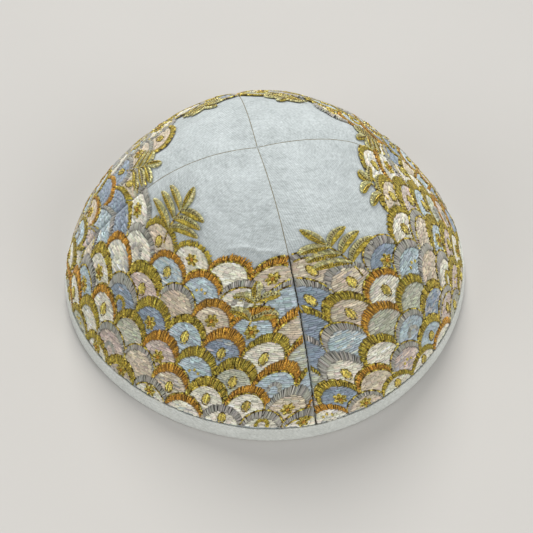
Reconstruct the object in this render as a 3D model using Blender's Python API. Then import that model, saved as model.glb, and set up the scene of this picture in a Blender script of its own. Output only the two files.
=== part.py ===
"""A four-panel embroidered kippah that stands on its rim, crown upward.

Four cloth panels meet at the top of the crown. Each carries a raised field of
thread, and a folded binding clasps the panels' lower edges all the way round.
The origin is the centre of the rim on the surface that the cap stands on.
Metres, +Z up, and the front of the cap looks along -Y.
"""
import math

import bmesh
import bpy
import numpy as np

# Driving dimensions in metres
RIM_DIAMETER = 0.190
CROWN_HEIGHT = 0.076
CLOTH_THICKNESS = 0.0015
BINDING_HEIGHT = 0.0066
BINDING_THICKNESS = 0.0010
THREAD_THICKNESS = 0.0009
CLEARANCE = 0.0003
CROWN_HOLE_RADIUS = 0.0008
SCALE_WIDTH = 0.0165
SCALE_RISE = 0.0097
SCALE_LAP = 0.00306

# Where the seams run, and how the crown departs from a turned shape, as
# angles from the front (-Y) towards +X and shares of the rim's radius
FRONT_SEAM_ANGLE = math.radians(12.5)
PANEL_ANGLE = math.radians(90.0)
WAIST_SHARE = 0.14
FULLNESS_START_SHARE = 0.4
SEAM_CORNER_SHARE = 0.008
CROWN_SHIFT_SHARE = (-0.031, -0.030)

# Fullness and dents of the cloth: angle past the front seam, angle down
# from the crown, how far the cloth stands out (a share of the rim's radius)
# and how far the swelling reaches (an angle)
FULLNESS_COLUMNS = ("around", "down", "out", "reach")
FULLNESS = (
    (0.0, 50.0, 0.042, 20.5),
    (45.0, 50.0, 0.080, 20.5),
    (90.0, 50.0, 0.010, 20.5),
    (135.0, 50.0, 0.041, 20.5),
    (180.0, 50.0, 0.028, 20.5),
    (225.0, 50.0, 0.021, 20.5),
    (270.0, 50.0, 0.059, 20.5),
    (315.0, 50.0, -0.017, 20.5),
)

# The panels, in order round the cap from the front seam, and how many rows
# of scales each carries from a given share of its width onwards
PANELS = (
    ("front_right", ((0.0, 7), (0.10, 6), (0.52, 7), (0.70, 8), (0.90, 7))),
    ("back_right", ((0.0, 7), (0.30, 8), (0.50, 7), (0.80, 8))),
    ("back_left", ((0.0, 8), (0.22, 7), (0.55, 8), (0.72, 7))),
    ("front_left", ((0.0, 7), (0.32, 6), (0.50, 7), (0.62, 8), (0.85, 7))),
)

# Facets: panels and thread fields across and up, binding round
PANEL_COLUMNS = 18
PANEL_ROWS = 15
FIELD_COLUMNS = 30
FIELD_ROWS = 9
BINDING_SEGMENTS = 80
SEARCH_STEP = 0.00025
SLOPE_STEP = 0.001

# Sizes worked out from the ones above
CLOTH_RADIUS = RIM_DIAMETER / 2 - BINDING_THICKNESS - CLEARANCE
DOME_RADIUS = (CLOTH_RADIUS ** 2 + CROWN_HEIGHT ** 2) / (2 * CROWN_HEIGHT)
DOME_ANGLE = math.atan2(CLOTH_RADIUS, DOME_RADIUS - CROWN_HEIGHT)
PANEL_FOOT = BINDING_THICKNESS + CLEARANCE
FIELD_FOOT = BINDING_HEIGHT + CLEARANCE
SCALE_RADIUS = math.hypot(SCALE_WIDTH / 2, SCALE_LAP)
OUTER_LEG = (CLEARANCE, CLEARANCE + BINDING_THICKNESS)
INNER_LEG = (-CLOTH_THICKNESS - CLEARANCE, -CLOTH_THICKNESS - CLEARANCE - BINDING_THICKNESS)

CROWN_CLOTH = ("crown_cloth", (0.62, 0.66, 0.66), 0.85, 0.0)
BINDING_TAPE = ("binding_tape", (0.58, 0.62, 0.63), 0.8, 0.0)
EMBROIDERY_THREAD = ("embroidery_thread", (0.42, 0.36, 0.20), 0.55, 0.2)


def clear_scene():
    for item in list(bpy.data.objects):
        bpy.data.objects.remove(item, do_unlink=True)


def turned_radius(up):
    """Radius of the plain turned crown at a share of the way up, 0 rim to 1 top."""
    waist = 1 - WAIST_SHARE * math.sin(math.pi * up) ** 2
    return DOME_RADIUS * math.sin(DOME_ANGLE * (1 - up)) * waist


def cloth_surface(around, up):
    """Point on the cloth's outer face, with the crown's real fullness and lean."""
    down = DOME_ANGLE * (1 - up)
    height = DOME_RADIUS * math.cos(down) - (DOME_RADIUS - CROWN_HEIGHT)
    corner = 1 + SEAM_CORNER_SHARE * math.cos(4 * (around - FRONT_SEAM_ANGLE))
    swell = 0.0
    for row in FULLNESS:
        bump = dict(zip(FULLNESS_COLUMNS, row))
        turn = around - FRONT_SEAM_ANGLE - math.radians(bump["around"])
        turn = math.atan2(math.sin(turn), math.cos(turn)) * math.sin(down)
        drop = down - math.radians(bump["down"])
        reach = math.radians(bump["reach"])
        swell += bump["out"] * math.exp(-(turn ** 2 + drop ** 2) / (2 * reach ** 2))
    swell *= CLOTH_RADIUS * math.sin(math.pi / 2 * min(up / FULLNESS_START_SHARE, 1.0))
    radius = turned_radius(up) * corner + swell * math.sin(down)
    height += swell * math.cos(down)
    lean = [share * CLOTH_RADIUS * up for share in CROWN_SHIFT_SHARE]
    return np.array((radius * math.sin(around) + lean[0], -radius * math.cos(around) + lean[1], height))


def cloth_point(around, up, out):
    """Point at a distance out from the cloth's outer face, along its normal."""
    across = cloth_surface(around + SLOPE_STEP, up) - cloth_surface(around - SLOPE_STEP, up)
    along = cloth_surface(around, up + SLOPE_STEP) - cloth_surface(around, up - SLOPE_STEP)
    normal = np.cross(across, along)
    return cloth_surface(around, up) + out * normal / np.linalg.norm(normal)


def meridian_length():
    """Length of the turned crown's line from rim to top."""
    steps = 64
    total = 0.0
    for step in range(steps):
        low, high = step / steps, (step + 1) / steps
        rise = DOME_RADIUS * (math.cos(DOME_ANGLE * (1 - high)) - math.cos(DOME_ANGLE * (1 - low)))
        total += math.hypot(turned_radius(low) - turned_radius(high), rise)
    return total


MERIDIAN = meridian_length()


def up_share(distance):
    """Share of the way up for a distance measured along the cloth from the rim."""
    return distance / MERIDIAN


def half_width(up):
    """Half of a panel's width at a share of the way up."""
    return turned_radius(up) * PANEL_ANGLE / 2


def rows_at(skyline, share):
    rows = 0
    for start, count in skyline:
        if share >= start:
            rows = count
    return rows


def in_scales(skyline, side, distance):
    """Whether a place on a panel lies inside one of its rows of scales."""
    room = half_width(up_share(distance))
    for row in range(max(count for _, count in skyline)):
        offset = SCALE_WIDTH / 2 * (row % 2)
        centre = round((side - offset) / SCALE_WIDTH) * SCALE_WIDTH + offset
        middle = FIELD_FOOT + row * SCALE_RISE
        share = min(max((centre / room + 1) / 2, 0.0), 1.0)
        if row < rows_at(skyline, share):
            if math.hypot(side - centre, distance - middle) <= SCALE_RADIUS:
                return True
    return False


def field_top(skyline, turn):
    """Distance from the rim to the thread's upper edge, at an angle off the panel's middle."""
    highest = FIELD_FOOT + max(count for _, count in skyline) * SCALE_RISE
    distance = highest
    while distance > FIELD_FOOT + SCALE_RISE:
        side = turn * turned_radius(up_share(distance))
        if in_scales(skyline, side, distance):
            return distance
        distance -= SEARCH_STEP
    return distance


def make_object(name, vertices, faces, look):
    """One closed solid with its own material, its faces turned outwards."""
    mesh = bpy.data.meshes.new(name)
    mesh.from_pydata([tuple(point) for point in vertices], [], faces)
    shell = bmesh.new()
    shell.from_mesh(mesh)
    bmesh.ops.recalc_face_normals(shell, faces=shell.faces)
    bmesh.ops.triangulate(shell, faces=shell.faces)
    shell.to_mesh(mesh)
    shell.free()
    mesh.shade_smooth()
    mesh.set_sharp_from_angle(angle=math.radians(40))
    mesh.materials.append(make_material(*look))
    item = bpy.data.objects.new(name, mesh)
    bpy.context.scene.collection.objects.link(item)
    return item


def make_material(name, colour, roughness, metallic):
    material = bpy.data.materials.get(name) or bpy.data.materials.new(name)
    material.use_nodes = True
    shader = material.node_tree.nodes["Principled BSDF"]
    shader.inputs["Base Color"].default_value = (*colour, 1.0)
    shader.inputs["Roughness"].default_value = roughness
    shader.inputs["Metallic"].default_value = metallic
    return material


def wall(name, columns, rows, inner, outer, place, look):
    """A closed wall over a grid: place(column, row) gives the angle and the share up."""
    vertices = []
    for out in (outer, inner):
        for row in range(rows + 1):
            for column in range(columns + 1):
                around, up = place(column / columns, row / rows)
                vertices.append(cloth_point(around, up, out))
    side = (columns + 1) * (rows + 1)

    def corner(column, row, layer):
        return layer * side + row * (columns + 1) + column

    faces = []
    for row in range(rows):
        for column in range(columns):
            cell = ((column, row), (column + 1, row), (column + 1, row + 1), (column, row + 1))
            faces.append([corner(*spot, 0) for spot in cell])
            faces.append([corner(*spot, 1) for spot in reversed(cell)])
    edge = [(column, 0) for column in range(columns)]
    edge += [(columns, row) for row in range(rows)]
    edge += [(columns - column, rows) for column in range(columns)]
    edge += [(0, rows - row) for row in range(rows)]
    for spot, following in zip(edge, edge[1:] + edge[:1]):
        faces.append([corner(*spot, 1), corner(*following, 1), corner(*following, 0), corner(*spot, 0)])
    return make_object(name, vertices, faces, look)


def seam_turn(up, room):
    """Half the panel's angle, less the angle that a gap beside the seam takes."""
    return PANEL_ANGLE / 2 - math.asin(min(room / turned_radius(up), 0.7))


def top_share():
    """Share up at which the panels' points stop, round the small hole at the crown."""
    up = 1.0
    while turned_radius(up) < CROWN_HOLE_RADIUS:
        up -= SLOPE_STEP
    return up


def crown_panel(name, middle):
    """One quarter of the crown, its lowest row of facets inside the binding's fold."""
    foot = up_share(PANEL_FOOT)
    hem = up_share(FIELD_FOOT)
    top = top_share()

    def place(across, rise):
        row = rise * PANEL_ROWS - 1
        up = foot if row < 0 else hem + (top - hem) * row / (PANEL_ROWS - 1)
        turn = seam_turn(up, CLEARANCE / 2) * (2 * across - 1)
        return middle + turn, up

    return wall("crown_panel_" + name, PANEL_COLUMNS, PANEL_ROWS, -CLOTH_THICKNESS, 0.0, place, CROWN_CLOTH)


def embroidery(name, middle, skyline):
    """The raised field of thread on one panel, up to the edge of its top scales."""
    foot = up_share(FIELD_FOOT)

    def place(across, rise):
        turn = seam_turn(foot, CLEARANCE) * (2 * across - 1)
        top = up_share(field_top(skyline, turn))
        up = foot + (top - foot) * rise
        limit = seam_turn(up, CLEARANCE)
        return middle + min(max(turn, -limit), limit), up

    outer = CLEARANCE + THREAD_THICKNESS
    return wall("embroidery_" + name, FIELD_COLUMNS, FIELD_ROWS, CLEARANCE, outer, place, EMBROIDERY_THREAD)


def rim_binding():
    """A strip folded up round the cloth's edge, with a flat foot all the way round."""
    soft = BINDING_THICKNESS / 2
    section = (
        (0.0, OUTER_LEG[1] - soft),
        (soft, OUTER_LEG[1]),
        (BINDING_HEIGHT - soft, OUTER_LEG[1]),
        (BINDING_HEIGHT, OUTER_LEG[1] - soft),
        (BINDING_HEIGHT, OUTER_LEG[0]),
        (BINDING_THICKNESS, OUTER_LEG[0]),
        (BINDING_THICKNESS, INNER_LEG[0]),
        (BINDING_HEIGHT, INNER_LEG[0]),
        (BINDING_HEIGHT, INNER_LEG[1] + soft),
        (BINDING_HEIGHT - soft, INNER_LEG[1]),
        (soft, INNER_LEG[1]),
        (0.0, INNER_LEG[1] + soft),
    )
    vertices = []
    for segment in range(BINDING_SEGMENTS):
        around = 2 * math.pi * segment / BINDING_SEGMENTS
        for distance, out in section:
            point = cloth_point(around, up_share(distance), out)
            if distance == 0.0:
                point[2] = 0.0
            vertices.append(point)
    count = len(section)
    faces = []
    for segment in range(BINDING_SEGMENTS):
        here = segment * count
        there = (segment + 1) % BINDING_SEGMENTS * count
        for spot in range(count):
            after = (spot + 1) % count
            faces.append([here + spot, there + spot, there + after, here + after])
    return make_object("rim_binding", vertices, faces, BINDING_TAPE)


def main():
    clear_scene()
    rim_binding()
    for number, (name, skyline) in enumerate(PANELS):
        middle = FRONT_SEAM_ANGLE + (number + 0.5) * PANEL_ANGLE
        crown_panel(name, middle)
        embroidery(name, middle, skyline)


main()
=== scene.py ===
"""Looks of the embroidered kippah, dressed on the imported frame.

The crown panels, the binding and the fields of thread are modelled over the
frame's own surface. Places on a panel are given as (side, climb): metres
sideways from the panel's middle line, and metres up the cloth from the rim.
"""
import math

import bpy
import numpy as np
from mathutils import Matrix, Vector


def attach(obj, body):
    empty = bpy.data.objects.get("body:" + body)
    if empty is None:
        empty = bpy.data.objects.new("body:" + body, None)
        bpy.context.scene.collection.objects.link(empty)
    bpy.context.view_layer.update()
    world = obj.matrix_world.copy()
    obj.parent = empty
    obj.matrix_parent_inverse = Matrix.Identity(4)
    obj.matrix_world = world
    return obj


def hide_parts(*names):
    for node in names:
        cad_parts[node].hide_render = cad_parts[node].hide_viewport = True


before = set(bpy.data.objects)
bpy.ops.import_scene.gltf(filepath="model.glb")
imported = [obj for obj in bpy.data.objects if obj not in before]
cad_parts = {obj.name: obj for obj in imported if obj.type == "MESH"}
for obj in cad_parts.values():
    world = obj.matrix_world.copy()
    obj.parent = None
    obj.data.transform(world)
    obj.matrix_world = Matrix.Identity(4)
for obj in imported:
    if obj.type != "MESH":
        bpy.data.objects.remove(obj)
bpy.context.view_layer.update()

# The frame's own sizes, in metres
MM = 0.001
RIM_DIAMETER = 0.190
CROWN_HEIGHT = 0.076
CLOTH_THICKNESS = 0.0015
BINDING_HEIGHT = 0.0066
BINDING_THICKNESS = 0.0010
CLEARANCE = 0.0003
SCALE_WIDTH = 0.0165
SCALE_RISE = 0.0097
SCALE_LAP = 0.00306
FRONT_SEAM_ANGLE = math.radians(12.5)
PANEL_ANGLE = math.radians(90.0)
WAIST_SHARE = 0.14
FULLNESS_START_SHARE = 0.4
SEAM_CORNER_SHARE = 0.008
CROWN_SHIFT_SHARE = (-0.031, -0.030)
FULLNESS_DOWN = 50.0
FULLNESS_REACH = 20.5
FULLNESS = (
    (0.0, 0.042), (45.0, 0.080), (90.0, 0.010), (135.0, 0.041),
    (180.0, 0.028), (225.0, 0.021), (270.0, 0.059), (315.0, -0.017),
)
PANELS = (
    ("front_right", ((0.0, 7), (0.10, 6), (0.52, 7), (0.70, 8), (0.90, 7))),
    ("back_right", ((0.0, 7), (0.30, 8), (0.50, 7), (0.80, 8))),
    ("back_left", ((0.0, 8), (0.22, 7), (0.55, 8), (0.72, 7))),
    ("front_left", ((0.0, 7), (0.32, 6), (0.50, 7), (0.62, 8), (0.85, 7))),
)
CLOTH_RADIUS = RIM_DIAMETER / 2 - BINDING_THICKNESS - CLEARANCE
DOME_RADIUS = (CLOTH_RADIUS ** 2 + CROWN_HEIGHT ** 2) / (2 * CROWN_HEIGHT)
DOME_ANGLE = math.atan2(CLOTH_RADIUS, DOME_RADIUS - CROWN_HEIGHT)
PANEL_FOOT = BINDING_THICKNESS + CLEARANCE
FIELD_FOOT = BINDING_HEIGHT + CLEARANCE
SCALE_RADIUS = math.hypot(SCALE_WIDTH / 2, SCALE_LAP)
SLOPE_STEP = 0.001

# Relief of the cloth: lengths in metres, and shares
SEAM_GAP = 0.06 * MM
SEAM_WANDER = 0.09 * MM
SEAM_DEPTH = 0.7 * MM
SEAM_REACH = 2.8 * MM
RIDGE_RISE = 1.6 * MM
RIDGE_REACH = 11 * MM
RIDGE_FOOT = 64 * MM
RIDGE_SINK = 0.55
RIDGE_FADE = 20 * MM
GROOVE_DEPTH = 0.9 * MM
GROOVE_REACH = 0.55 * MM
GROOVE_FADE = 2 * MM
CALM_REACH = 5 * MM
CALM_FOOT = 4 * MM
PULL_DEPTH = 0.09 * MM
PULL_REACH = 2.5 * MM
PULL_LENGTHS = (1.9 * MM, 8 * MM)
PUCKER_DEPTH = 0.17 * MM
PUCKER_REACH = 4 * MM
PUCKER_LENGTHS = (2.1 * MM, 7 * MM)
WAVE_DEPTH = 0.26 * MM
WAVE_LENGTH = 17 * MM
CRUMPLE_DEPTH = 1.0 * MM

# Creases: panel, turn in degrees from level, then in millimetres the side and
# climb of the middle, half length, half width, and how far the cloth stands out
CREASES = (
    ("front_left", 10, 17.5, 77.6, 5.5, 0.9, 0.85),
    ("front_left", 10, 17.5, 76.2, 5.5, 0.6, -1.0),
    ("front_left", -6, 27.5, 76.4, 6, 0.9, 0.75),
    ("front_left", -6, 27.5, 75.0, 6, 0.6, -0.95),
    ("front_left", -12, 2, 92, 16, 3.2, -0.35),
    ("front_left", 24, -16, 99, 15, 2.6, 0.35),
    ("front_right", -62, 13, 93, 14, 2.6, 0.5),
    ("front_right", -78, 3, 88, 15, 3.0, 0.35),
    ("front_right", 12, -12, 92, 12, 2.2, -0.35),
    ("back_right", -35, 10, 102, 12, 1.0, 0.55),
    ("back_right", 60, 27, 96, 10, 6.0, 0.9),
    ("back_right", 10, -14, 97, 13, 1.6, -0.55),
    ("back_left", 20, -6, 100, 14, 1.7, 0.55),
    ("back_left", -30, 14, 94, 12, 1.8, -0.5),
    ("back_left", 55, 16, 101, 9, 1.2, 0.4),
)

# Seam thread in plain cloth and in embroidery: its radius and its height over the cloth. The thread in the
# embroidery is dark, as painted shade of the deep fold there
SEAM_THREADS = ((0.2 * MM, -0.07 * MM), (0.3 * MM, 0.1 * MM))

# The folded tape: how round its fold is, its ripples and the waver of its
# upper edge, and the row of stitches that holds it
TAPE_FOLD = 1.4
TAPE_RIPPLES = (0.10, 0.08)
TAPE_WAVER = 0.6
STITCH_PITCH = 2.6 * MM
STITCH_LENGTH = 1.7 * MM
STITCH_DROP = 0.75 * MM
STITCH_RADIUS = 0.13 * MM

# Grids: columns and rows of a panel, stations of the binding and of a seam
PANEL_COLUMNS = 104
PANEL_COARSE_ROWS = 24
PANEL_FINE_ROWS = 104
FINE_CLIMB = 58 * MM
BINDING_STATIONS = 320
SEAM_STATIONS = 300

# Thread sizes, in metres
RAYON_PITCH = 0.72 * MM
RAYON_LENGTH = 2.4 * MM
METAL_PITCH = 0.66 * MM
THREAD_LIFT = 0.30 * MM
CANVAS_STEP = 0.2 * MM
TRACE_STEP = 0.22 * MM
CANVAS_SIDE = 76 * MM
CANVAS_TOP = 96 * MM
SEAM_ROOM = 0.15 * MM
EMPTY_ROW = 99
GROUND_STEP = 1.2 * MM
CAP_SIDE = (0.5 * MM, 1.3 * MM)
CAP_TOP = (2.8 * MM, 4.6 * MM)
CAP_ROOT = 5 * MM
CAP_LENGTH = 3.6 * MM
LEAF_PITCH = 0.46 * MM
CHARM_RISE = 2.2 * MM
CHARM_FOOT_ROOM = 2.7 * MM
CHARM_SEAM_ROOM = 4.5 * MM
CORD_LENGTH = 0.95 * MM
CORD_BASE = 0.5 * MM
GROUND_HEIGHT = 0.22 * MM
ROUGHNESS = 0.09 * MM
FRAY = 0.22 * MM

# Kinds of stitch: its width, the height of its ends over the cloth, how far
# its middle rises over them, and how much the shade varies between stitches
CAP_STITCH = (METAL_PITCH * 0.98, 0.22 * MM, 0.45 * MM, 0.2)
FIELD_STITCH = (RAYON_PITCH * 1.04, 0.16 * MM, 0.2 * MM, 0.15)
DROP_STITCH = (0.62 * MM, 0.5 * MM, 0.35 * MM, 0.25)
KNOT_STITCH = (0.55 * MM, 0.8 * MM, 0.3 * MM, 0.12)
ARC_STITCH = (METAL_PITCH, 0.5 * MM, 0.3 * MM, 0.2)
SEED_STITCH = (0.55 * MM, 0.5 * MM, 0.3 * MM, 0.25)
LEAF_STITCH = (0.56 * MM, 0.42 * MM, 0.3 * MM, 0.22)
SPECK_STITCH = (0.42 * MM, 0.84 * MM, 0.12 * MM, 0.3)
CORD_RISE, CORD_VARY = 0.16 * MM, 0.3

# Material slots of the two kinds of thread
MATT, SHINY = 0, 1


def paint(red, green, blue):
    """Linear colour from an sRGB one given in 0 to 255."""
    shares = np.array((red, green, blue)) / 255
    return np.where(shares < 0.04045, shares / 12.92, ((shares + 0.055) / 1.055) ** 2.4)


# Slate, sky, cream, beige, pink and sage
PASTELS = (
    paint(148, 161, 174),
    paint(186, 200, 204),
    paint(232, 227, 208),
    paint(212, 198, 174),
    paint(212, 195, 182),
    paint(192, 193, 172),
)
PASTEL_ODDS = (0.18, 0.20, 0.29, 0.16, 0.11, 0.06)
METALS = {
    "gold": paint(168, 149, 58),
    "amber": paint(186, 138, 52),
    "silver": paint(166, 163, 152),
}
METAL_ODDS = (0.43, 0.25, 0.32)
# A lighter and a darker gold: thread colours of drops, seeds and leaf specks. In the cords they take turns
# with gold as painted highlight and painted shade of the twists
BRIGHT_GOLD = paint(208, 188, 96)
DARK_GOLD = paint(88, 68, 22)
PALE_LEAF = paint(180, 174, 124)
GLINT_ODDS = 0.10
GLINT = 1.28
METAL_SHADOW = 0.4
PASTEL_SHADOW = 0.58
LEAF_TONES = (METALS["gold"], PALE_LEAF)

# How the scales differ: the share of stitches in a second tone, and how often
# a cord follows the cap's or the field's edge
MIXES, MIX_ODDS = (0.0, 0.1, 0.25), (0.45, 0.35, 0.2)
CAP_CORD_ODDS = 0.5
FIELD_CORD_ODDS = 0.3
SILVER_ARC_ODDS = 0.6

# Sprigs over the upper edge: panel, lean in degrees, how many pairs of leaves,
# then in millimetres the side and climb of the stem's foot, and its length
SPRIGS = (
    ("front_left", 96, 3, -14, 65, 25),
    ("front_left", 84, 2, 31, 44, 17),
    ("front_right", 84, 3, -20, 55, 24),
    ("front_right", 98, 2, 13, 66, 15),
    ("back_right", 96, 3, -30, 60, 18),
    ("back_right", 80, 3, 12, 70, 18),
    ("back_left", 100, 3, -16, 68, 18),
    ("back_left", 80, 3, 25, 60, 20),
)


def turned_radius(up):
    waist = 1 - WAIST_SHARE * np.sin(np.pi * up) ** 2
    return DOME_RADIUS * np.sin(DOME_ANGLE * (1 - up)) * waist


def cloth_surface(around, up):
    """Points on the frame's cloth, for arrays of angles and shares of the way up."""
    down = DOME_ANGLE * (1 - up)
    height = DOME_RADIUS * np.cos(down) - (DOME_RADIUS - CROWN_HEIGHT)
    corner = 1 + SEAM_CORNER_SHARE * np.cos(4 * (around - FRONT_SEAM_ANGLE))
    swell = np.zeros_like(down)
    for turn_at, out in FULLNESS:
        turn = around - FRONT_SEAM_ANGLE - math.radians(turn_at)
        turn = np.arctan2(np.sin(turn), np.cos(turn)) * np.sin(down)
        drop = down - math.radians(FULLNESS_DOWN)
        swell += out * np.exp(-(turn ** 2 + drop ** 2) / (2 * math.radians(FULLNESS_REACH) ** 2))
    swell *= CLOTH_RADIUS * np.sin(np.pi / 2 * np.minimum(up / FULLNESS_START_SHARE, 1.0))
    radius = turned_radius(up) * corner + swell * np.sin(down)
    height += swell * np.cos(down)
    x = radius * np.sin(around) + CROWN_SHIFT_SHARE[0] * CLOTH_RADIUS * up
    y = -radius * np.cos(around) + CROWN_SHIFT_SHARE[1] * CLOTH_RADIUS * up
    return np.stack((x, y, height), axis=-1)


def unit(vectors):
    return vectors / np.linalg.norm(vectors, axis=-1, keepdims=True)


def cloth_normal(around, up):
    across = cloth_surface(around + SLOPE_STEP, up) - cloth_surface(around - SLOPE_STEP, up)
    along = cloth_surface(around, up + SLOPE_STEP) - cloth_surface(around, up - SLOPE_STEP)
    return unit(np.cross(across, along))


def meridian_length():
    ups = np.linspace(0, 1, 65)
    heights = DOME_RADIUS * np.cos(DOME_ANGLE * (1 - ups))
    return float(np.hypot(np.diff(turned_radius(ups)), np.diff(heights)).sum())


MERIDIAN = meridian_length()
TOP_CLIMB = MERIDIAN * 0.9985


class Panel:
    """One quarter of the crown: its width, its relief, and the places of its scales."""

    def __init__(self, number, name, skyline):
        self.number = number
        self.name = name
        self.skyline = skyline
        self.middle = FRONT_SEAM_ANGLE + (number + 0.5) * PANEL_ANGLE
        self.random = np.random.default_rng(20 + number)

    def half_width(self, climb):
        return turned_radius(climb / MERIDIAN) * PANEL_ANGLE / 2

    def angles(self, side, climb):
        up = climb / MERIDIAN
        return self.middle + side / turned_radius(up), up

    def relief(self, side, climb):
        """How far the cloth stands out from the frame's surface: seams, creases, puckers, waves."""
        out = np.zeros_like(side)
        for panel, turn, *sizes in CREASES:
            if panel == self.name:
                at_side, at_climb, length, width, rise = (size * MM for size in sizes)
                cos, sin = math.cos(math.radians(turn)), math.sin(math.radians(turn))
                along = (side - at_side) * cos + (climb - at_climb) * sin
                away = (climb - at_climb) * cos - (side - at_side) * sin
                away = away + along ** 2 / (4 * length)
                out = out + rise * np.exp(-(along / length) ** 4 - (away / width) ** 2)
        above = climb - self.edge(side)
        short, long = PUCKER_LENGTHS
        ripple = np.sin(side / short + 1.3 * np.sin(side / long + self.number))
        fade = np.exp(-np.maximum(above, 0) / PUCKER_REACH)
        out = out + PUCKER_DEPTH * ripple * fade * (above > 0)
        for wave in range(4):
            turn = 0.9 + 2.1 * wave + self.number
            size = WAVE_LENGTH - 3 * wave * MM
            phase = (side * math.cos(turn) + climb * math.sin(turn)) / size
            out = out + WAVE_DEPTH * np.sin(phase * 2 + wave) * np.sin(phase + 2.7 * wave)
        seam = np.maximum(self.half_width(climb) - np.abs(side), 0)
        out = out * (1 - np.exp(-(seam / CALM_REACH) ** 2))
        short, long = PULL_LENGTHS
        pull = np.sin(climb / short + 1.5 * np.sin(climb / long))
        out = out + PULL_DEPTH * pull * (seam / PULL_REACH) * np.exp(1 - seam / PULL_REACH)
        high = np.clip((climb - RIDGE_FOOT) / RIDGE_FADE, 0, 1)
        out = out + RIDGE_RISE * high * (np.exp(-seam / RIDGE_REACH) - RIDGE_SINK)
        out = out - SEAM_DEPTH * np.exp(-seam / SEAM_REACH)
        sewn = np.clip((np.where(side > 0, *self.seam_tops) - climb) / GROOVE_FADE, 0, 1)
        out = out - GROOVE_DEPTH * sewn * np.exp(-(seam / GROOVE_REACH) ** 2)
        foot = np.clip((climb - BINDING_HEIGHT) / CALM_FOOT, 0, 1)
        return out * foot

    def points(self, side, climb, out):
        """Places in space at a height over the cloth, with the cloth's own relief."""
        around, up = self.angles(side, climb)
        lift = self.relief(side, climb) + out
        return cloth_surface(around, up) + lift[..., None] * cloth_normal(around, up)

    def edge(self, side):
        """Climb of the embroidery's upper edge at a place sideways, smoothed for the cloth."""
        return np.interp(side, self.edge_sides, self.edge_climbs)

    def scales(self):
        """Every scale as its row and the place of its centre, upper rows first, as lower ones lap them."""
        found = []
        rows = max(count for _, count in self.skyline)
        for row in reversed(range(rows)):
            climb = FIELD_FOOT + row * SCALE_RISE
            room = float(self.half_width(climb))
            offset = SCALE_WIDTH / 2 * (row % 2)
            reach = int(room / SCALE_WIDTH) + 2
            for step in range(-reach, reach + 1):
                side = step * SCALE_WIDTH + offset
                share = min(max((side / room + 1) / 2, 0.0), 1.0)
                allowed = [count for start, count in self.skyline if share >= start][-1]
                if row < allowed and abs(side) < room + SCALE_RADIUS:
                    found.append((row, side, climb))
        return found


class Canvas:
    """Which motif, and which row of scales, shows at each spot of a panel."""

    def __init__(self, panel):
        self.panel = panel
        across = int(2 * CANVAS_SIDE / CANVAS_STEP) + 1
        high = int(CANVAS_TOP / CANVAS_STEP) + 1
        self.side, self.climb = np.meshgrid(
            np.linspace(-CANVAS_SIDE, CANVAS_SIDE, across), np.linspace(0, CANVAS_TOP, high), indexing="ij")
        self.motif = np.full((across, high), -1, np.int32)
        self.row = np.full((across, high), EMPTY_ROW, np.int32)
        room = panel.half_width(self.climb) - SEAM_ROOM
        self.allowed = (np.abs(self.side) < room) & (self.climb > FIELD_FOOT)

    def fill(self, where, motif, row):
        spots = where & self.allowed
        self.motif[spots] = motif
        self.row[spots] = row

    def look(self, grid, side, climb):
        across = np.clip(np.rint((side + CANVAS_SIDE) / CANVAS_STEP), 0, grid.shape[0] - 1).astype(int)
        high = np.clip(np.rint(climb / CANVAS_STEP), 0, grid.shape[1] - 1).astype(int)
        return grid[across, high]


class Threads:
    """Collects stitches, each a line from one place to another, and builds their mesh."""

    def __init__(self, panel):
        self.panel = panel
        self.rows = []

    def add(self, starts, ends, colour, slot, stitch):
        """Stitches side by side, all of one kind and colour."""
        width, base, arch, vary = stitch
        count = len(starts)
        if not count:
            return
        random = self.panel.random
        shade = 1 + vary * random.standard_normal((count, 1))
        shade *= np.where(random.random((count, 1)) < GLINT_ODDS, GLINT, 1.0)
        warmth = 1 + 0.03 * random.standard_normal((count, 3))
        colours = np.clip(np.asarray(colour) * shade * warmth, 0.004, 1.0)
        widths = np.full((count, 1), width) * (1 + 0.08 * random.standard_normal((count, 1)))
        rest = np.column_stack((widths, np.full(count, base), np.full(count, arch), np.full(count, slot)))
        self.rows.append(np.column_stack((starts, ends, colours, rest)))

    def build(self):
        """Points, faces, slots and colours: three strips to a stitch, open to the cloth below."""
        data = np.concatenate(self.rows)
        starts, ends, colours = data[:, 0:2], data[:, 2:4], data[:, 4:7]
        widths, bases, arches, kinds = data[:, 7], data[:, 8], data[:, 9], data[:, 10]
        shares = np.array((0.0, 0.22, 0.78, 1.0))
        rises = np.array((0.0, 1.0, 1.0, 0.0))
        slims = np.array((0.72, 1.0, 1.0, 0.72))
        line = starts[:, None] + (ends - starts)[:, None] * shares[None, :, None]
        side, climb = line[..., 0], line[..., 1]
        heights = bases[:, None] + arches[:, None] * rises[None]
        middle = self.panel.points(side, climb, heights)
        around, up = self.panel.angles(side, climb)
        normal = cloth_normal(around, up)
        along = unit(middle[:, -1] - middle[:, 0])[:, None]
        across = unit(np.cross(normal, along))
        half = (widths[:, None] * slims[None] / 2)[..., None]
        lift = (THREAD_LIFT * rises.clip(0.3) * np.ones_like(half[..., 0]))[..., None]
        ring = np.stack((
            middle - across * half,
            middle - across * half * 0.55 + normal * lift,
            middle + across * half * 0.55 + normal * lift,
            middle + across * half,
        ), axis=2)
        count, sections = len(data), len(shares)
        first = np.arange(count)[:, None, None] * sections * 4
        here = first + np.arange(sections - 1)[None, :, None] * 4 + np.arange(3)[None, None, :]
        faces = np.stack((here, here + 1, here + 5, here + 4), axis=-1).reshape(count, -1, 4)
        slots = np.repeat(kinds.astype(np.int32), faces.shape[1])
        points = ring.reshape(-1, 3)
        tints = np.repeat(colours, sections * 4, axis=0)
        return points, faces.reshape(-1, 4), slots, tints


def new_object(name, data):
    item = bpy.data.objects.new(name, data)
    bpy.context.scene.collection.objects.link(item)
    return item


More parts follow.
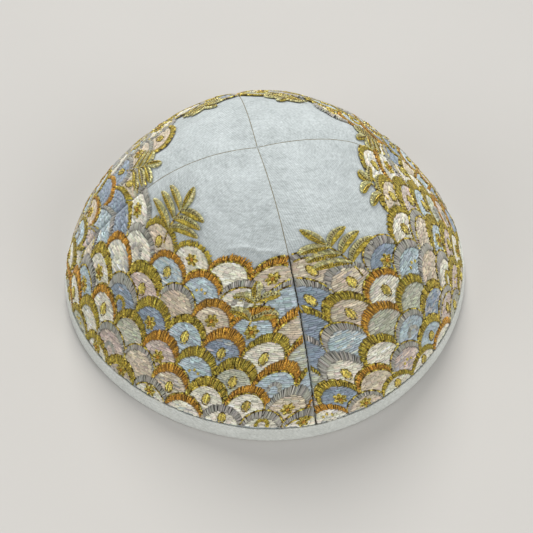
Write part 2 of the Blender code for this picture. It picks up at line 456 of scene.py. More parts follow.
def mesh_object(name, materials, points, quads, slots=None, tints=None, places=None):
    """An object from the names of its materials, its corner points and its four-sided faces."""
    mesh = bpy.data.meshes.new(name)
    mesh.vertices.add(len(points))
    mesh.vertices.foreach_set("co", np.asarray(points, np.float32).ravel())
    mesh.loops.add(len(quads) * 4)
    mesh.loops.foreach_set("vertex_index", np.asarray(quads, np.int32).ravel())
    mesh.polygons.add(len(quads))
    mesh.polygons.foreach_set("loop_start", np.arange(len(quads), dtype=np.int32) * 4)
    mesh.polygons.foreach_set("use_smooth", np.ones(len(quads), bool))
    if slots is not None:
        mesh.polygons.foreach_set("material_index", slots)
    mesh.update(calc_edges=True)
    mesh.validate()
    for material in materials:
        mesh.materials.append(MATERIALS[material])
    if tints is not None:
        layer = mesh.color_attributes.new("thread", "FLOAT_COLOR", "POINT")
        colours = np.column_stack((tints, np.ones(len(tints)))).astype(np.float32)
        layer.data.foreach_set("color", colours.ravel())
    if places is not None:
        layer = mesh.attributes.new("place", "FLOAT_VECTOR", "POINT")
        layer.data.foreach_set("vector", np.asarray(places, np.float32).ravel())
    return new_object(name, mesh)


def clip(canvas, wanted, starts, ends):
    """The stretches of straight lines that lie on one motif of the canvas."""
    reach = np.linalg.norm(ends - starts, axis=1).max()
    shares = np.linspace(0, 1, int(reach / TRACE_STEP) + 3)
    spots = starts[:, None] + (ends - starts)[:, None] * shares[None, :, None]
    inside = canvas.look(canvas.motif, spots[..., 0], spots[..., 1]) == wanted
    change = np.diff(np.pad(inside, ((0, 0), (1, 1))).astype(np.int8), axis=1)
    lines, first = np.nonzero(change == 1)
    _, last = np.nonzero(change == -1)
    low = spots[lines, first]
    high = spots[lines, last - 1]
    keep = np.linalg.norm(high - low, axis=1) > 0.5 * MM
    return low[keep], high[keep]


def split(starts, ends, longest, random):
    """Long stretches cut into stitches, with the breaks staggered from line to line."""
    lows, highs = [], []
    for start, end in zip(starts, ends):
        length = np.linalg.norm(end - start)
        parts = max(1, int(round(length / longest + random.uniform(-0.4, 0.4))))
        breaks = np.linspace(0, 1, parts + 1)
        if parts > 1:
            breaks[1:-1] += random.uniform(-0.3, 0.3, parts - 1) / parts
        lows.append(start + (end - start) * breaks[:-1, None])
        highs.append(start + (end - start) * breaks[1:, None])
    if not lows:
        return np.empty((0, 2)), np.empty((0, 2))
    return np.concatenate(lows), np.concatenate(highs)


def fan_lines(centre, inner, outer, low, high, pitch):
    """Spokes about a centre between two radii and two angles, a pitch apart half way out."""
    count = max(2, int((high - low) * (inner + outer) / 2 / pitch))
    angles = np.linspace(low, high, count)
    spokes = np.column_stack((np.cos(angles), np.sin(angles)))
    return centre + spokes * inner, centre + spokes * outer


def level_lines(centre, radius, angle, pitch):
    """Parallel lines across a disc."""
    count = int(2 * radius / pitch)
    offsets = (np.arange(count) - (count - 1) / 2) * pitch
    along = np.array((math.cos(angle), math.sin(angle)))
    aside = np.array((-along[1], along[0]))
    middles = centre + offsets[:, None] * aside
    return middles - along * radius, middles + along * radius


def roughen(points, random, amount=ROUGHNESS):
    return points + random.normal(0, amount, points.shape)


def pick(random, choices, odds):
    return choices[random.choice(len(choices), p=odds)]


class Scale:
    """One scale of the pattern: a cap of satin over an inner field."""

    def __init__(self, random, row, side, climb):
        self.row = row
        self.centre = np.array((side, climb))
        self.metal = pick(random, list(METALS), METAL_ODDS)
        self.pastel = pick(random, PASTELS, PASTEL_ODDS)
        self.second = (self.pastel + pick(random, PASTELS, PASTEL_ODDS)) / 2
        self.mix = pick(random, MIXES, MIX_ODDS)
        self.charm = pick(random, CHARMS, CHARM_ODDS)
        self.field_radius = SCALE_RADIUS - random.uniform(*CAP_SIDE)
        drop = random.uniform(*CAP_TOP) - (SCALE_RADIUS - self.field_radius)
        self.field_centre = self.centre - (0, drop)

    def draw(self, canvas, index):
        away = np.hypot(canvas.side - self.centre[0], canvas.climb - self.centre[1])
        canvas.fill(away <= SCALE_RADIUS, 2 * index, self.row)
        away = np.hypot(canvas.side - self.field_centre[0], canvas.climb - self.field_centre[1])
        canvas.fill(away <= self.field_radius, 2 * index + 1, self.row)

    def sew(self, canvas, threads, index):
        """A fan of thread for the cap, and rows of rayon for the field."""
        random = threads.panel.random
        slot = MATT if self.metal == "silver" else SHINY
        root = self.centre - (0, CAP_ROOT)
        lows, highs = fan_lines(root, CAP_ROOT, SCALE_RADIUS + CAP_ROOT + 0.3 * MM,
                                -0.3, math.pi + 0.3, METAL_PITCH * 0.85)
        starts, ends = clip(canvas, 2 * index, lows, highs)
        starts, ends = split(starts, ends, CAP_LENGTH, random)
        starts, ends = roughen(starts, random), roughen(ends, random, FRAY)
        threads.add(starts, ends, METALS[self.metal], slot, CAP_STITCH)
        lows, highs = level_lines(self.field_centre, self.field_radius + 0.3 * MM,
                                  random.normal(0, 0.05), RAYON_PITCH)
        starts, ends = clip(canvas, 2 * index + 1, lows, highs)
        starts, ends = split(starts, ends, RAYON_LENGTH, random)
        starts, ends = roughen(starts, random), roughen(ends, random)
        other = random.random(len(starts)) < self.mix
        for chosen, tone in ((~other, self.pastel), (other, self.second)):
            threads.add(starts[chosen], ends[chosen], tone, MATT, FIELD_STITCH)

    def decorate(self, threads):
        """The charm, kept above the binding, unless a seam is too near."""
        side, climb = self.field_centre + (0, CHARM_RISE)
        climb = max(climb, FIELD_FOOT + CHARM_FOOT_ROOM)
        if abs(side) > float(threads.panel.half_width(climb)) - CHARM_SEAM_ROOM:
            return
        if self.charm:
            self.charm(threads, np.array((side, climb)))


def sew_drop(threads, centre, wide=1.3 * MM, high=2.1 * MM):
    """A small upright drop of bright thread with a dark edge."""
    offsets = np.linspace(-wide, wide, 6)
    reach = high * np.sqrt(np.maximum(1 - (offsets / wide) ** 2, 0.12))
    lows = centre + np.column_stack((offsets, -reach))
    highs = centre + np.column_stack((offsets, reach * 1.15))
    threads.add(lows, highs, BRIGHT_GOLD, SHINY, DROP_STITCH)
    edge = oval(centre, wide + 0.35 * MM, high + 0.45 * MM)
    sew_cord(threads, edge, 0.42 * MM, 0.46 * MM, (DARK_GOLD, METALS["gold"]))


def oval(centre, wide, high):
    angles = np.linspace(0, 2 * math.pi, 25)
    return centre + np.column_stack((wide * np.cos(angles), high * np.sin(angles)))


def sew_rosette(threads, centre, petals=6, reach=2.5 * MM):
    """Petals of short satin stitches about an amber knot."""
    for petal in range(petals):
        angle = 2 * math.pi * (petal + 0.25) / petals
        sew_leaf(threads, centre, angle, reach, 1.5 * MM, 0.0, (METALS["gold"], BRIGHT_GOLD))
    lows, highs = level_lines(centre, 0.7 * MM, 0.3, 0.45 * MM)
    threads.add(lows, highs, METALS["amber"], SHINY, KNOT_STITCH)


def sew_arc(threads, centre):
    """A second, smaller arch of satin inside the scale."""
    silver = threads.panel.random.random() < SILVER_ARC_ODDS
    tone, slot = (METALS["silver"], MATT) if silver else (METALS["gold"], SHINY)
    centre = centre - (0, 1.2 * MM)
    lows, highs = fan_lines(centre, 1.5 * MM, 3.2 * MM, -0.2, math.pi + 0.2, METAL_PITCH * 0.9)
    threads.add(lows, highs, tone, slot, ARC_STITCH)


def sew_seeds(threads, centre):
    """Three seeds of bright thread in a row."""
    for step in (-1, 0, 1):
        middle = centre + (step * 1.9 * MM, (1 - abs(step)) * 0.9 * MM)
        lows, highs = level_lines(middle, 0.62 * MM, 1.3 + 0.2 * step, 0.42 * MM)
        threads.add(lows, highs, BRIGHT_GOLD, SHINY, SEED_STITCH)


CHARMS = (None, sew_drop, sew_rosette, sew_arc, sew_seeds)
CHARM_ODDS = (0.20, 0.34, 0.16, 0.14, 0.16)


def leaf_line(root, angle, length, bend, shares):
    """Points along a leaf's bent middle line."""
    turned = angle + bend * shares
    return root + np.column_stack((np.cos(turned), np.sin(turned))) * (length * shares)[:, None]


def sew_leaf(threads, root, angle, length, width, bend, tones):
    """A pointed leaf in slanting satin, one half in each of two tones, with dark specks."""
    count = max(5, int(length / LEAF_PITCH))
    shares = np.linspace(0.04, 0.97, count)
    middle = leaf_line(root, angle, length, bend, shares)
    ahead = leaf_line(root, angle, length, bend, np.minimum(shares + 0.03, 1.0))
    back = leaf_line(root, angle, length, bend, shares - 0.03)
    along = unit(ahead - back)
    aside = np.column_stack((-along[:, 1], along[:, 0]))
    reach = (width / 2 * np.sin(np.pi * shares ** 0.8) ** 0.7 + 0.15 * MM)[:, None]
    for way, tone in zip((1, -1), tones):
        far = middle + way * aside * reach + along * reach * 0.8
        near = middle - way * aside * 0.12 * MM
        threads.add(near, far, tone, SHINY, LEAF_STITCH)
    specks = np.arange(1, count - 1, 2)
    lows = middle[specks] + aside[specks] * reach[specks] * 0.2
    highs = middle[specks] + aside[specks] * reach[specks] * 0.65 + along[specks] * 0.35 * MM
    threads.add(lows, highs, DARK_GOLD, SHINY, SPECK_STITCH)


def sew_cord(threads, line, width, base, tones):
    """Short stitches end to end along a line, in tones that take turns like a twisted cord. Where bright
    and dark golds take turns, they are painted highlight and painted shade of the twists.
    """
    gaps = np.linalg.norm(np.diff(line, axis=0), axis=1)
    reach = np.concatenate(((0,), np.cumsum(gaps)))
    count = max(1, int(reach[-1] / CORD_LENGTH))
    marks = np.linspace(0, reach[-1], count + 1)
    places = np.column_stack([np.interp(marks, reach, line[:, axis]) for axis in range(2)])
    for turn, tone in enumerate(tones):
        threads.add(places[:-1][turn::len(tones)], places[1:][turn::len(tones)], tone, SHINY,
                    (width, base, CORD_RISE, CORD_VARY))


def sew_arch(canvas, threads, row, side, climb, radius):
    """A cord over the top of a scale, wherever no lower row covers it."""
    angles = np.linspace(-0.6, math.pi + 0.6, 60)
    line = np.column_stack((side + radius * np.cos(angles), climb + radius * np.sin(angles)))
    shown = canvas.look(canvas.row, line[:, 0], line[:, 1]) >= row
    shown &= np.abs(line[:, 0]) < threads.panel.half_width(line[:, 1]) - 0.8 * MM
    shown &= line[:, 1] > FIELD_FOOT + 0.5 * MM
    runs = np.split(np.arange(len(line)), np.nonzero(np.diff(shown.astype(int)))[0] + 1)
    for run in runs:
        if shown[run[0]] and len(run) > 5:
            # Bright, gold, dark, gold in turn: the cord's gold with painted highlight and painted shade of
            # its twists
            tones = (BRIGHT_GOLD, METALS["gold"], DARK_GOLD, METALS["gold"])
            sew_cord(threads, line[run], 0.78 * MM, CORD_BASE, tones)


def sew_sprig(threads, lean, pairs, side, climb, length):
    """A branch with paired leaves and one at its tip."""
    angle = math.radians(lean)
    bend = 0.3 if lean < 90 else -0.3
    stem = leaf_line((side, climb), angle, length, bend, np.linspace(0, 0.72, 14))
    sew_cord(threads, stem, 0.85 * MM, 0.42 * MM, (METALS["gold"], BRIGHT_GOLD, DARK_GOLD))
    for pair in range(pairs):
        share = 0.26 + 0.40 * pair / max(pairs - 1, 1)
        root = leaf_line((side, climb), angle, length, bend, np.array((share,)))[0]
        turned = angle + bend * share
        size = length * (0.56 - 0.05 * pair)
        sew_leaf(threads, root, turned + 0.7, size, 4.0 * MM, 0.6, LEAF_TONES)
        sew_leaf(threads, root, turned - 0.7, size, 4.0 * MM, -0.6, LEAF_TONES[::-1])
    sew_leaf(threads, stem[-1], angle + bend * 0.8, length * 0.46, 3.8 * MM, 0.1, LEAF_TONES)


def grid_faces(index):
    """Four-sided faces of a grid of numbered points."""
    return np.stack((index[:-1, :-1], index[1:, :-1], index[1:, 1:], index[:-1, 1:]), axis=-1)


def ground(canvas, panel, tones):
    """The close-packed thread under the stitches, as one low quilt in each motif's colour darkened: painted
    shade in the gaps between the stitches.
    """
    sides = np.arange(-CANVAS_SIDE, CANVAS_SIDE, GROUND_STEP)
    climbs = np.arange(FIELD_FOOT + 0.2 * MM, CANVAS_TOP, GROUND_STEP)
    side, climb = np.meshgrid(sides, climbs, indexing="ij")
    inside = canvas.look(canvas.motif, side, climb) >= 0
    cells = inside[:-1, :-1] & inside[1:, :-1] & inside[1:, 1:] & inside[:-1, 1:]
    index = np.arange(side.size).reshape(side.shape)
    used, quads = np.unique(grid_faces(index)[cells], return_inverse=True)
    quads = quads.reshape(-1, 4)
    side, climb = side.ravel()[used], climb.ravel()[used]
    points = panel.points(side, climb, np.full(side.shape, GROUND_HEIGHT))
    motifs = canvas.look(canvas.motif, side, climb)
    return points, quads, tones[motifs]


def lay_out(panel):
    """Draws a panel's scales on its canvas and finds the embroidery's upper edge."""
    canvas = Canvas(panel)
    scales = [Scale(panel.random, *place) for place in panel.scales()]
    for index, scale in enumerate(scales):
        scale.draw(canvas, index)
    shown = np.where(canvas.motif >= 0, canvas.climb, 0).max(axis=1)
    reach = int(2 * MM / CANVAS_STEP)
    kernel = np.ones(2 * reach + 1) / (2 * reach + 1)
    panel.edge_sides = canvas.side[:, 0]
    panel.edge_climbs = np.convolve(shown, kernel, mode="same")
    climbs = np.arange(FIELD_FOOT, CANVAS_TOP, CANVAS_STEP)
    sides = panel.half_width(climbs) - MM
    panel.seam_tops = [climbs[canvas.look(canvas.motif, way * sides, climbs) >= 0].max() for way in (1, -1)]
    return canvas, scales


def share_seams(panels):
    """A seam counts as embroidered as far up as the panels on both its sides are."""
    for panel, following in zip(panels, panels[1:] + panels[:1]):
        top = min(panel.seam_tops[0], following.seam_tops[1])
        panel.seam_tops[0] = following.seam_tops[1] = top


def embroider(panel, canvas, scales):
    """All the thread on one panel, as one mesh."""
    threads = Threads(panel)
    tones = []
    for index, scale in enumerate(scales):
        # The ground's colours: each motif's thread colours darkened, as painted shade between the stitches
        tones += [METALS[scale.metal] * METAL_SHADOW, scale.pastel * PASTEL_SHADOW]
        scale.sew(canvas, threads, index)
        if panel.random.random() < CAP_CORD_ODDS:
            sew_arch(canvas, threads, scale.row, *scale.centre, SCALE_RADIUS - 0.2 * MM)
        if panel.random.random() < FIELD_CORD_ODDS:
            sew_arch(canvas, threads, scale.row, *scale.field_centre, scale.field_radius)
        scale.decorate(threads)
    for name, lean, pairs, *sizes in SPRIGS:
        if name == panel.name:
            sew_sprig(threads, lean, pairs, *(size * MM for size in sizes))
    points, quads, slots, tints = threads.build()
    low_points, low_quads, low_tints = ground(canvas, panel, np.array(tones))
    quads = np.concatenate((low_quads, quads + len(low_points)))
    slots = np.concatenate((np.zeros(len(low_quads), np.int32), slots))
    points = np.concatenate((low_points, points))
    tints = np.concatenate((low_tints, tints))
    item = mesh_object("threads_" + panel.name, ("rayon", "metal"), points, quads, slots, tints)
    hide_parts("embroidery_" + panel.name)
    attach(item, "root")


def crown_cloth(panel):
    """One quarter of the crown in woven cloth, its edges turned down into the seams."""
    across = np.linspace(-1, 1, PANEL_COLUMNS + 1)
    across = 0.35 * across + 0.65 * np.sin(np.pi / 2 * across)
    climb = np.concatenate((np.linspace(PANEL_FOOT, FINE_CLIMB, PANEL_COARSE_ROWS, endpoint=False),
                            np.linspace(FINE_CLIMB, TOP_CLIMB, PANEL_FINE_ROWS)))
    across, climb = np.meshgrid(across, climb, indexing="ij")
    side = across * (panel.half_width(climb) - SEAM_GAP / 2)
    outer = panel.points(side, climb, np.zeros(side.shape))
    inner = panel.points(side, climb, np.full(side.shape, -CLOTH_THICKNESS))
    item = closed_wall("cloth_" + panel.name, outer, inner, side, climb)
    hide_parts("crown_panel_" + panel.name)
    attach(item, "root")


def closed_wall(name, outer, inner, side, climb):
    """A solid sheet of cloth from two grids of points that share one order."""
    index = np.arange(side.size).reshape(side.shape)
    cells = grid_faces(index).reshape(-1, 4)
    count = index.size
    rim = np.concatenate((index[:-1, 0], index[-1, :-1], index[:0:-1, -1], index[0, :0:-1]))
    following = np.roll(rim, -1)
    edge = np.column_stack((rim, rim + count, following + count, following))
    quads = np.concatenate((cells, cells[:, ::-1] + count, edge))
    points = np.concatenate((outer.reshape(-1, 3), inner.reshape(-1, 3)))
    flat = np.column_stack((side.ravel(), climb.ravel(), np.zeros(side.size)))
    return mesh_object(name, ("cloth",), points, quads, places=np.concatenate((flat, flat)))


def binding_section():
    """The folded tape's section as (climb, out), round at its fold and its two edges."""
    outer = CLEARANCE + BINDING_THICKNESS
    inner = -CLOTH_THICKNESS - CLEARANCE - BINDING_THICKNESS
    soft = BINDING_THICKNESS / 2
    fold = TAPE_FOLD * soft
    turns = np.linspace(0, math.pi / 2, 5)
    half = np.linspace(0, math.pi, 7)
    line = [(fold * (1 - math.sin(a)), outer - fold * (1 - math.cos(a))) for a in turns[::-1]]
    line += [(share * (BINDING_HEIGHT - soft), outer) for share in np.linspace(0.3, 0.9, 7)]
    line += [(BINDING_HEIGHT - soft + soft * math.sin(a), outer - soft + soft * math.cos(a)) for a in half]
    line += [(BINDING_THICKNESS, CLEARANCE * 0.2), (BINDING_THICKNESS, -CLOTH_THICKNESS - CLEARANCE * 0.2)]
    line += [(BINDING_HEIGHT - soft + soft * math.sin(a), inner + soft + soft * math.cos(a)) for a in half]
    line += [(share * (BINDING_HEIGHT - soft), inner) for share in np.linspace(0.9, 0.3, 7)]
    line += [(fold * (1 - math.sin(a)), inner + fold * (1 - math.cos(a))) for a in turns]
    return np.array(line)


def rim_binding():
    """The folded tape round the rim, slightly uneven as sewn tape is."""
    section = binding_section()
    around = np.linspace(math.pi, 3 * math.pi, BINDING_STATIONS, endpoint=False)
    turn = np.repeat(around[:, None], len(section), axis=1)
    climb = np.repeat(section[None, :, 0], BINDING_STATIONS, axis=0)
    out = np.repeat(section[None, :, 1], BINDING_STATIONS, axis=0)
    ease = np.sin(np.pi * np.clip(climb / BINDING_HEIGHT, 0, 1))
    close, wide = TAPE_RIPPLES
    ripple = close * np.sin(turn * 131 + 2 * np.sin(turn * 7)) + wide * np.sin(turn * 47 + 1.4)
    ripple = ripple * MM * ease * np.where(out > -CLOTH_THICKNESS / 2, 1, -1)
    waver = 0.5 * np.sin(turn * 23) + 0.3 * np.sin(turn * 61 + 2)
    edge = np.clip(climb / BINDING_HEIGHT - 0.6, 0, 1) * waver * MM
    up = (climb + edge * TAPE_WAVER) / MERIDIAN
    points = cloth_surface(turn, up) + (out + ripple)[..., None] * cloth_normal(turn, up)
    points[..., 2] = np.where(climb < 0.05 * MM, 0.0, np.maximum(points[..., 2], 0.02 * MM))
    count = len(section)
    index = np.arange(BINDING_STATIONS * count).reshape(BINDING_STATIONS, count)
    after = np.roll(index, -1, axis=0)
    quads = np.stack((index, after, np.roll(after, -1, axis=1), np.roll(index, -1, axis=1)), axis=-1)
    run = np.cumsum(np.concatenate(((0,), np.hypot(*np.diff(section, axis=0).T))))
    run = np.repeat(run[None], BINDING_STATIONS, axis=0)
    places = np.stack((turn * CLOTH_RADIUS, run, turn * 0), axis=-1)
    item = mesh_object("binding", ("tape",), points.reshape(-1, 3), quads.reshape(-1, 4),
                       places=places.reshape(-1, 3))
    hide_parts("rim_binding")
    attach(item, "root")


def tube(line, radius, sides=6):
    """Points and faces of a thin round thread along a line of points."""
    along = unit(np.gradient(line, axis=0))
    first = unit(np.cross(along, np.array((0.13, 0.27, 0.95))))
    second = np.cross(along, first)
    angles = np.arange(sides) * 2 * math.pi / sides
    ring = first[:, None] * np.cos(angles)[None, :, None] + second[:, None] * np.sin(angles)[None, :, None]
    points = (line[:, None] + radius * ring).reshape(-1, 3)
    index = np.arange(len(line) * sides).reshape(len(line), sides)
    after = np.roll(index, -1, axis=1)
    quads = np.stack((index[:-1], after[:-1], after[1:], index[1:]), axis=-1).reshape(-1, 4)
    return points, quads


def joined(name, materials, tubes, slots=None):
    """One object from many tubes, each given as its points and its faces."""
    points, quads, start = [], [], 0
    for places, faces in tubes:
        points.append(places)
        quads.append(faces + start)
        start += len(places)
    return mesh_object(name, materials, np.concatenate(points), np.concatenate(quads), slots)


def seam_threads(panels):
    """The sewing thread down each seam, thin in the plain cloth; in the embroidery a dark thread deep in
    the groove, which is painted shade of the deep fold.
    """
    tubes, slots = [], []
    for panel in panels:
        for slot, (radius, out) in enumerate(SEAM_THREADS):
            climb = np.linspace(BINDING_HEIGHT - MM, TOP_CLIMB - 0.3 * MM, SEAM_STATIONS)
            wander = np.sin(climb / (2.7 * MM)) + np.sin(climb / (1.15 * MM) + panel.number)
            side = panel.half_width(climb) + SEAM_WANDER * slot * wander
            sewn = climb < panel.seam_tops[0]
            climb, side = climb[sewn == bool(slot)], side[sewn == bool(slot)]
            places, faces = tube(panel.points(side, climb, np.full(side.shape, out)), radius)
            tubes.append((places, faces))
            slots.append(np.full(len(faces), slot, np.int32))
    item = joined("seam_threads", ("seam", "seam_shadow"), tubes, np.concatenate(slots))
    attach(item, "root")


def binding_stitches():
    """The row of small stitches that holds the binding, just inside its upper edge."""
    count = int(2 * math.pi * CLOTH_RADIUS / STITCH_PITCH)
    tubes = []
    for stitch in range(count):
        middle = 2 * math.pi * stitch / count
        turns = middle + np.linspace(-0.5, 0.5, 5) * STITCH_LENGTH / CLOTH_RADIUS
        climb = (BINDING_HEIGHT - STITCH_DROP) + 0.05 * MM * math.sin(stitch * 1.7)
        up = np.full(5, climb / MERIDIAN)
        outs = CLEARANCE + BINDING_THICKNESS + np.array((-0.15, 0.06, 0.1, 0.06, -0.15)) * MM
        line = cloth_surface(turns, up) + outs[:, None] * cloth_normal(turns, up)
        tubes.append(tube(line, STITCH_RADIUS, 5))
    item = joined("binding_stitches", ("stitch",), tubes)
    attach(item, "root")


def new_material(name, roughness, metallic=0.0, sheen=0.0, specular=0.5):
    material = bpy.data.materials.new(name)
    material.use_nodes = True
    shader = material.node_tree.nodes["Principled BSDF"]
    for key, value in (("Roughness", roughness), ("Metallic", metallic), ("Specular IOR Level", specular),
                       ("Sheen Weight", sheen), ("Sheen Roughness", 0.5)):
        shader.inputs[key].default_value = value
    return material, material.node_tree, shader


def feed(tree, socket, value):
    """Gives an input a link, or else a plain value."""
    if isinstance(value, bpy.types.NodeSocket):
        tree.links.new(value, socket)
    else:
        socket.default_value = value


def node(tree, kind, **values):
    """A shader node. What is called set_ and a name feeds the input of that name."""
    made = tree.nodes.new(kind)
    for key, value in values.items():
        if key.startswith("set_"):
            feed(tree, made.inputs[key[4:].replace("_", " ")], value)
        else:
            setattr(made, key, value)
    return made


def math_node(tree, operation, *values, **more):
    made = node(tree, "ShaderNodeMath", operation=operation, **more)
    for socket, value in zip(made.inputs, values):
        feed(tree, socket, value)
    return made.outputs[0]


def ramp_mix(tree, factor, low, high):
    """Colour between two, by a factor."""
    made = node(tree, "ShaderNodeMix", data_type="RGBA", set_Factor=factor)
    colours = [socket for socket in made.inputs if socket.type == "RGBA"]
    for socket, value in zip(colours, (low, high)):
        socket.default_value = (*value, 1.0)
    return [socket for socket in made.outputs if socket.type == "RGBA"][0]


def object_place(tree):
    return node(tree, "ShaderNodeTexCoord").outputs["Object"]


def noise(tree, vector, scale, detail, **more):
    """The value of a noise texture."""
    made = node(tree, "ShaderNodeTexNoise", set_Vector=vector, set_Scale=scale, set_Detail=detail, **more)
    return made.outputs["Fac"]


def bumped(tree, height, distance, strength=1.0, **more):
    """A normal tilted by a height."""
    made = node(tree, "ShaderNodeBump", set_Height=height, set_Distance=distance,
                set_Strength=strength, **more)
    return made.outputs[0]


def woven(name, light, dark, pitch, turn, roughness):
    """Woven cloth: raised threads both ways, slubs along them, dimples, and a faint cloudiness."""
    material, tree, shader = new_material(name, roughness, sheen=0.1, specular=0.25)
    place = node(tree, "ShaderNodeAttribute", attribute_name="place").outputs["Vector"]
    spin = node(tree, "ShaderNodeMapping", set_Vector=place, set_Rotation=(0, 0, math.radians(turn)))
    parts = node(tree, "ShaderNodeSeparateXYZ", set_Vector=spin.outputs[0])
    drift = math_node(tree, "MULTIPLY", noise(tree, place, WEAVE_DRIFT_SCALE, 2.0), 3.0)
    ridges, slubs = [], []
    for axis, stretch in enumerate(((1.0, 0.35, 1.0), (0.35, 1.0, 1.0))):
        phase = math_node(tree, "MULTIPLY", parts.outputs[axis], 2 * math.pi / pitch)
        ridges.append(math_node(tree, "SINE", math_node(tree, "ADD", phase, drift)))
        draw = node(tree, "ShaderNodeMapping", set_Vector=spin.outputs[0], set_Scale=stretch)
        slubs.append(noise(tree, draw.outputs[0], SLUB_SCALE, 2.0))
    weave = math_node(tree, "ADD", math_node(tree, "MULTIPLY", ridges[0], ridges[1]), ridges[0])
    slub = math_node(tree, "ADD", slubs[0], slubs[1])
    height = math_node(tree, "ADD", math_node(tree, "MULTIPLY", weave, 0.3), slub)
    dimples = noise(tree, place, DIMPLE_SCALE, 3.0, set_Roughness=0.6)
    dent = bumped(tree, dimples, CRUMPLE_DEPTH)
    tree.links.new(bumped(tree, height, WEAVE_DEPTH, set_Normal=dent), shader.inputs["Normal"])
    cloud = noise(tree, place, CLOUD_SCALE, 6.0, set_Roughness=0.7)
    thready = math_node(tree, "ADD", math_node(tree, "MULTIPLY", weave, 0.13),
                        math_node(tree, "MULTIPLY", math_node(tree, "SUBTRACT", slub, 1.0), 0.9))
    factor = math_node(tree, "ADD", cloud, thready, use_clamp=True)
    tree.links.new(ramp_mix(tree, factor, dark, light), shader.inputs["Base Color"])
    return material


def colour_stitches(tree, shader, value, gain, least):
    """The colour of each stitch, made lighter and darker by a value."""
    tint = node(tree, "ShaderNodeAttribute", attribute_name="thread").outputs["Color"]
    shade = math_node(tree, "ADD", math_node(tree, "MULTIPLY", value, gain), least)
    scaled = node(tree, "ShaderNodeVectorMath", operation="SCALE", set_Vector=tint, set_Scale=shade)
    tree.links.new(scaled.outputs[0], shader.inputs["Base Color"])


def rayon():
    """Matt-silk embroidery thread in the colour of its stitch."""
    material, tree, shader = new_material("rayon_thread", 0.5, sheen=0.15, specular=0.4)
    fibre = noise(tree, object_place(tree), RAYON_FIBRE_SCALE, 2.0)
    colour_stitches(tree, shader, fibre, 0.7, 0.62)
    tree.links.new(bumped(tree, fibre, 0.1 * MM, 0.6), shader.inputs["Normal"])
    return material


def metal_thread():
    """Metallic thread: specks of its colour lighter and darker, as painted glints of the foil and painted
    shade in the gaps between its turns.
    """
    material, tree, shader = new_material("metal_thread", 0.36, metallic=0.5, specular=0.5)
    foil = node(tree, "ShaderNodeTexVoronoi", set_Vector=object_place(tree), set_Scale=FOIL_SCALE)
    speck = node(tree, "ShaderNodeSeparateColor", set_Color=foil.outputs["Color"])
    colour_stitches(tree, shader, math_node(tree, "POWER", speck.outputs[0], 1.8), 1.05, 0.64)
    tree.links.new(bumped(tree, speck.outputs[1], 0.2 * MM, 0.8), shader.inputs["Normal"])
    return material


def plain_thread(name, colour):
    """Thread of one colour, a little mottled: sewing thread, and the dark seam thread that is painted
    shade.
    """
    material, tree, shader = new_material(name, 0.8, specular=0.2)
    fibre = noise(tree, object_place(tree), SEWING_FIBRE_SCALE, 3.0)
    tree.links.new(ramp_mix(tree, fibre, colour * 0.7, np.minimum(colour * 1.25, 1.0)),
                   shader.inputs["Base Color"])
    return material


# Scales of the textures, in features to the metre
WEAVE_DRIFT_SCALE = 160.0
SLUB_SCALE = 1500.0
DIMPLE_SCALE = 230.0
CLOUD_SCALE = 70.0
RAYON_FIBRE_SCALE = 2600.0
SEWING_FIBRE_SCALE = 1800.0
FOIL_SCALE = 2300.0
FLOOR_CLOUD_SCALE = 6.0
WEAVE_DEPTH = 0.1 * MM

MATERIALS = {
    "cloth": woven("crown_weave", paint(219, 226, 226), paint(160, 167, 166), 0.8 * MM, 19, 0.9),
    "tape": woven("tape_weave", paint(230, 232, 226), paint(190, 192, 185), 0.7 * MM, 45, 0.88),
    "rayon": rayon(),
    "metal": metal_thread(),
    "seam": plain_thread("seam_thread", paint(134, 128, 106)),
    # A dark thread in the seams through the embroidery: painted shade of their deep fold
    "seam_shadow": plain_thread("seam_shadow_thread", paint(74, 66, 52)),
    "stitch": plain_thread("binding_thread", paint(214, 214, 206)),
}

# Camera: the photograph's height of view, distance and aim
VIEW_ELEVATION = math.radians(51.8)
VIEW_DISTANCE = 4.2 * RIM_DIAMETER / 2
VIEW_AIM = (0.0043 * RIM_DIAMETER / 2, 0.0, -0.0576 * RIM_DIAMETER / 2)
VIEW_FOCAL_PIXELS = 826.0
VIEW_ROLL = math.radians(0.5)
FRAME_PIXELS = 533.0
SENSOR = 36.0

# Light from the side of a place: name, place, spread in the sky in degrees, strength
LIGHTS = (
    ("window", (-0.06, 0.72, 0.66), 26, 2.25),
    ("right_fill", (0.65, -0.5, 0.5), 34, 1.1),
    ("left_fill", (-0.75, -0.35, 0.4), 34, 0.7),
)
LIGHT_COLOUR = (1.0, 0.99, 0.97)
SKY_COLOUR = (0.93, 0.96, 1.0, 1.0)
SKY_STRENGTH = 0.46
FLOOR_SIZE = 12.0
FLOOR_DROP = 0.1 * MM


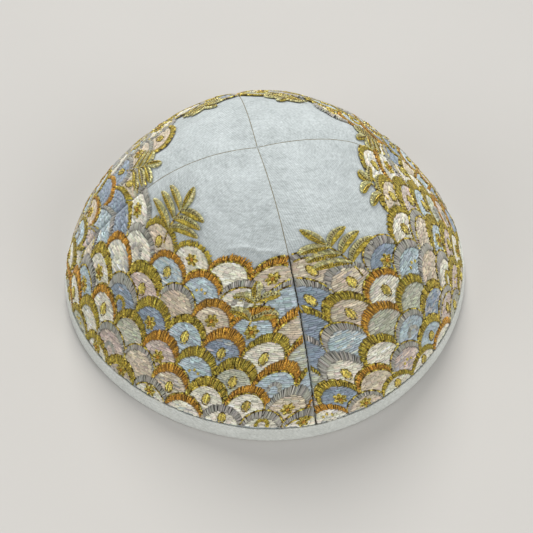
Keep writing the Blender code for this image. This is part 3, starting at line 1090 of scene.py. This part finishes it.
def make_camera():
    """The camera of the photograph, as fitted to the cap's outline and seams."""
    data = bpy.data.cameras.new("view")
    data.sensor_width = SENSOR
    data.sensor_fit = "HORIZONTAL"
    data.lens = SENSOR * VIEW_FOCAL_PIXELS / FRAME_PIXELS
    data.clip_start = 0.01
    camera = new_object("view", data)
    eye = Vector((0, -VIEW_DISTANCE * math.cos(VIEW_ELEVATION), VIEW_DISTANCE * math.sin(VIEW_ELEVATION)))
    ahead = (Vector(VIEW_AIM) - eye).normalized()
    turn = ahead.to_track_quat("-Z", "Y").to_matrix().to_4x4()
    camera.matrix_world = Matrix.Translation(eye) @ turn @ Matrix.Rotation(-VIEW_ROLL, 4, "Z")
    bpy.context.scene.camera = camera


def soft_light(name, place, spread, strength):
    """Broad even light with soft shadows."""
    data = bpy.data.lights.new(name, "SUN")
    data.angle = math.radians(spread)
    data.energy = strength
    data.color = LIGHT_COLOUR
    lamp = new_object(name, data)
    lamp.location = place
    lamp.rotation_euler = Vector(place).to_track_quat("Z", "Y").to_euler()


def make_studio():
    """A pale sky and three soft lights, the strongest from behind the cap."""
    world = bpy.data.worlds.new("studio")
    world.use_nodes = True
    sky = world.node_tree.nodes["Background"]
    sky.inputs["Color"].default_value = SKY_COLOUR
    sky.inputs["Strength"].default_value = SKY_STRENGTH
    bpy.context.scene.world = world
    for light in LIGHTS:
        soft_light(*light)
    bpy.context.scene.view_settings.view_transform = "Standard"


def make_floor():
    """A wide pale floor, slightly clouded."""
    bpy.ops.mesh.primitive_plane_add(size=FLOOR_SIZE, location=(0, 0, -FLOOR_DROP))
    floor = bpy.context.object
    floor.name = "floor"
    material, tree, shader = new_material("floor_paint", 0.75, specular=0.3)
    cloud = noise(tree, object_place(tree), FLOOR_CLOUD_SCALE, 4.0)
    tree.links.new(ramp_mix(tree, cloud, paint(196, 193, 188), paint(202, 199, 194)),
                   shader.inputs["Base Color"])
    floor.data.materials.append(material)


def dress():
    """Every piece, with the scales of all panels laid out first, because seams share two panels."""
    panels = [Panel(number, name, skyline) for number, (name, skyline) in enumerate(PANELS)]
    layouts = [lay_out(panel) for panel in panels]
    share_seams(panels)
    for panel, layout in zip(panels, layouts):
        embroider(panel, *layout)
        crown_cloth(panel)
    rim_binding()
    seam_threads(panels)
    binding_stitches()


make_camera()
make_studio()
make_floor()
dress()
